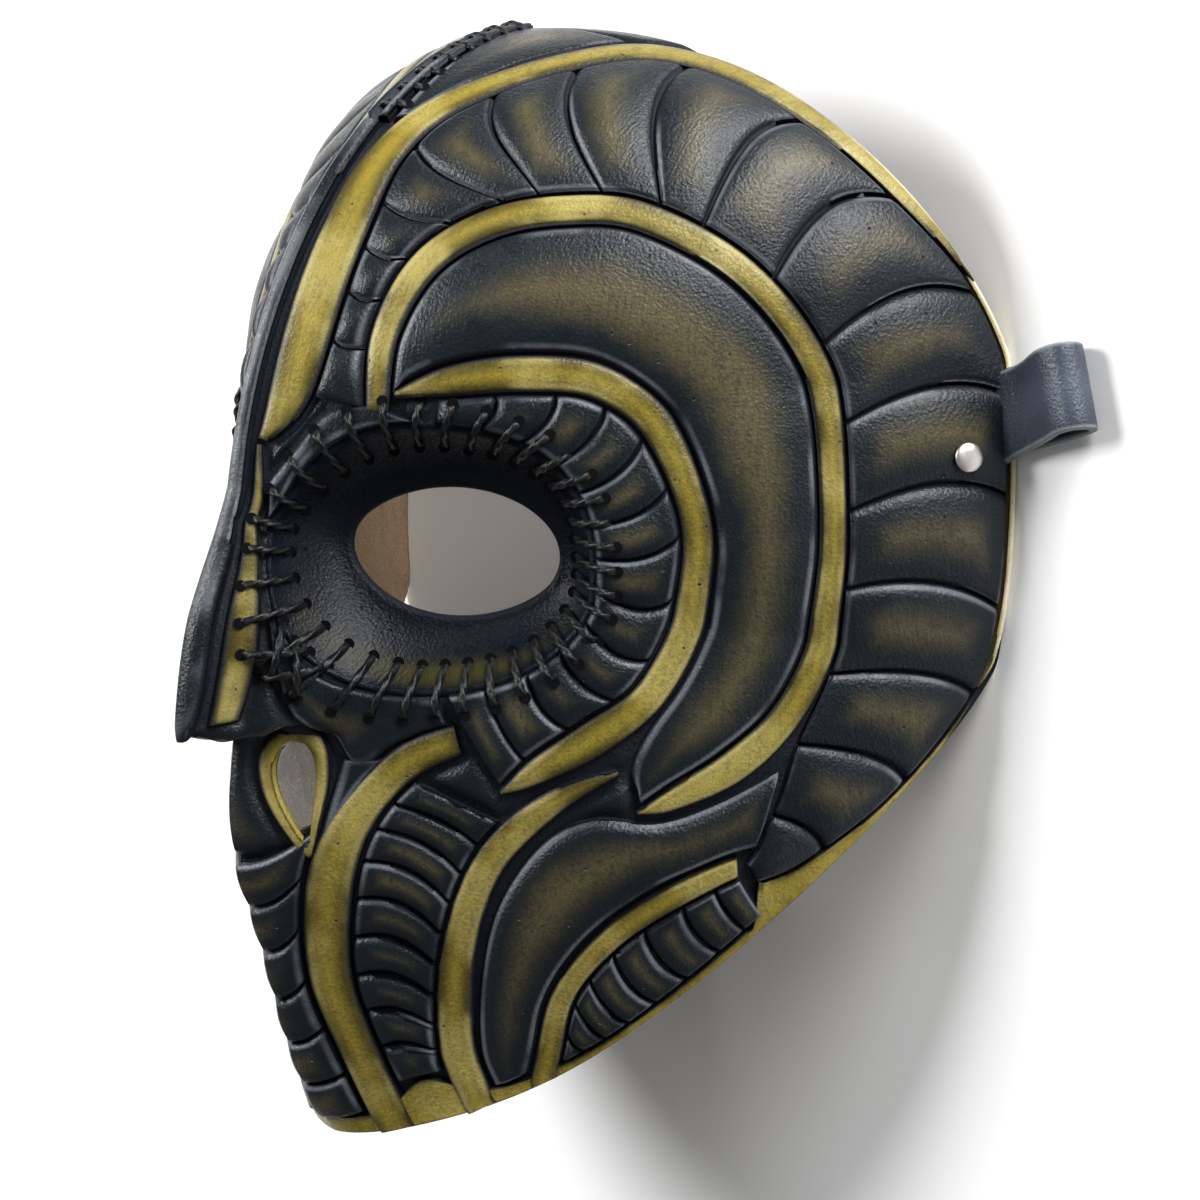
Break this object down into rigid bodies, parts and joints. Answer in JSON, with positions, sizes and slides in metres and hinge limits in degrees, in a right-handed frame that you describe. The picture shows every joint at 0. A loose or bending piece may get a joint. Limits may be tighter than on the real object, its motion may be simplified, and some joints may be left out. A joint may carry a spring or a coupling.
{
  "type": "leather mask",
  "caption": "Full-face mask of moulded and tooled leather with ribbed ram's horns, laced eye sockets, small vents beside the nose and a riveted leather strap, lying face up on its rim.",
  "frame": {"origin": "middle of the strap's flat underside, on the plane that the rim rests on", "axes": "+Z out of the face, +Y towards the forehead, +X towards the wearer's left"},
  "size_m": [0.2548, 0.2663, 0.1507],
  "materials": {
    "tooled_leather": "moulded and tooled, dyed blue-black with gold and bronze bands, satin",
    "socket_leather": "dished, dyed blue-black, satin",
    "lace_leather": "black round lace, satin",
    "strap_leather": "slate blue-black with paler cut edges, matt",
    "nickel": "dulled nickel rivet caps"
  },
  "bodies": {
    "root": {"mask_shell": "tooled_leather", "eye_socket_left": "socket_leather", "eye_socket_right": "socket_leather", "eye_lace_left": "lace_leather", "eye_lace_right": "lace_leather", "forehead_lace": "lace_leather", "strap": "strap_leather", "rivet_left": "nickel", "rivet_right": "nickel"}
  },
  "joints": []
}
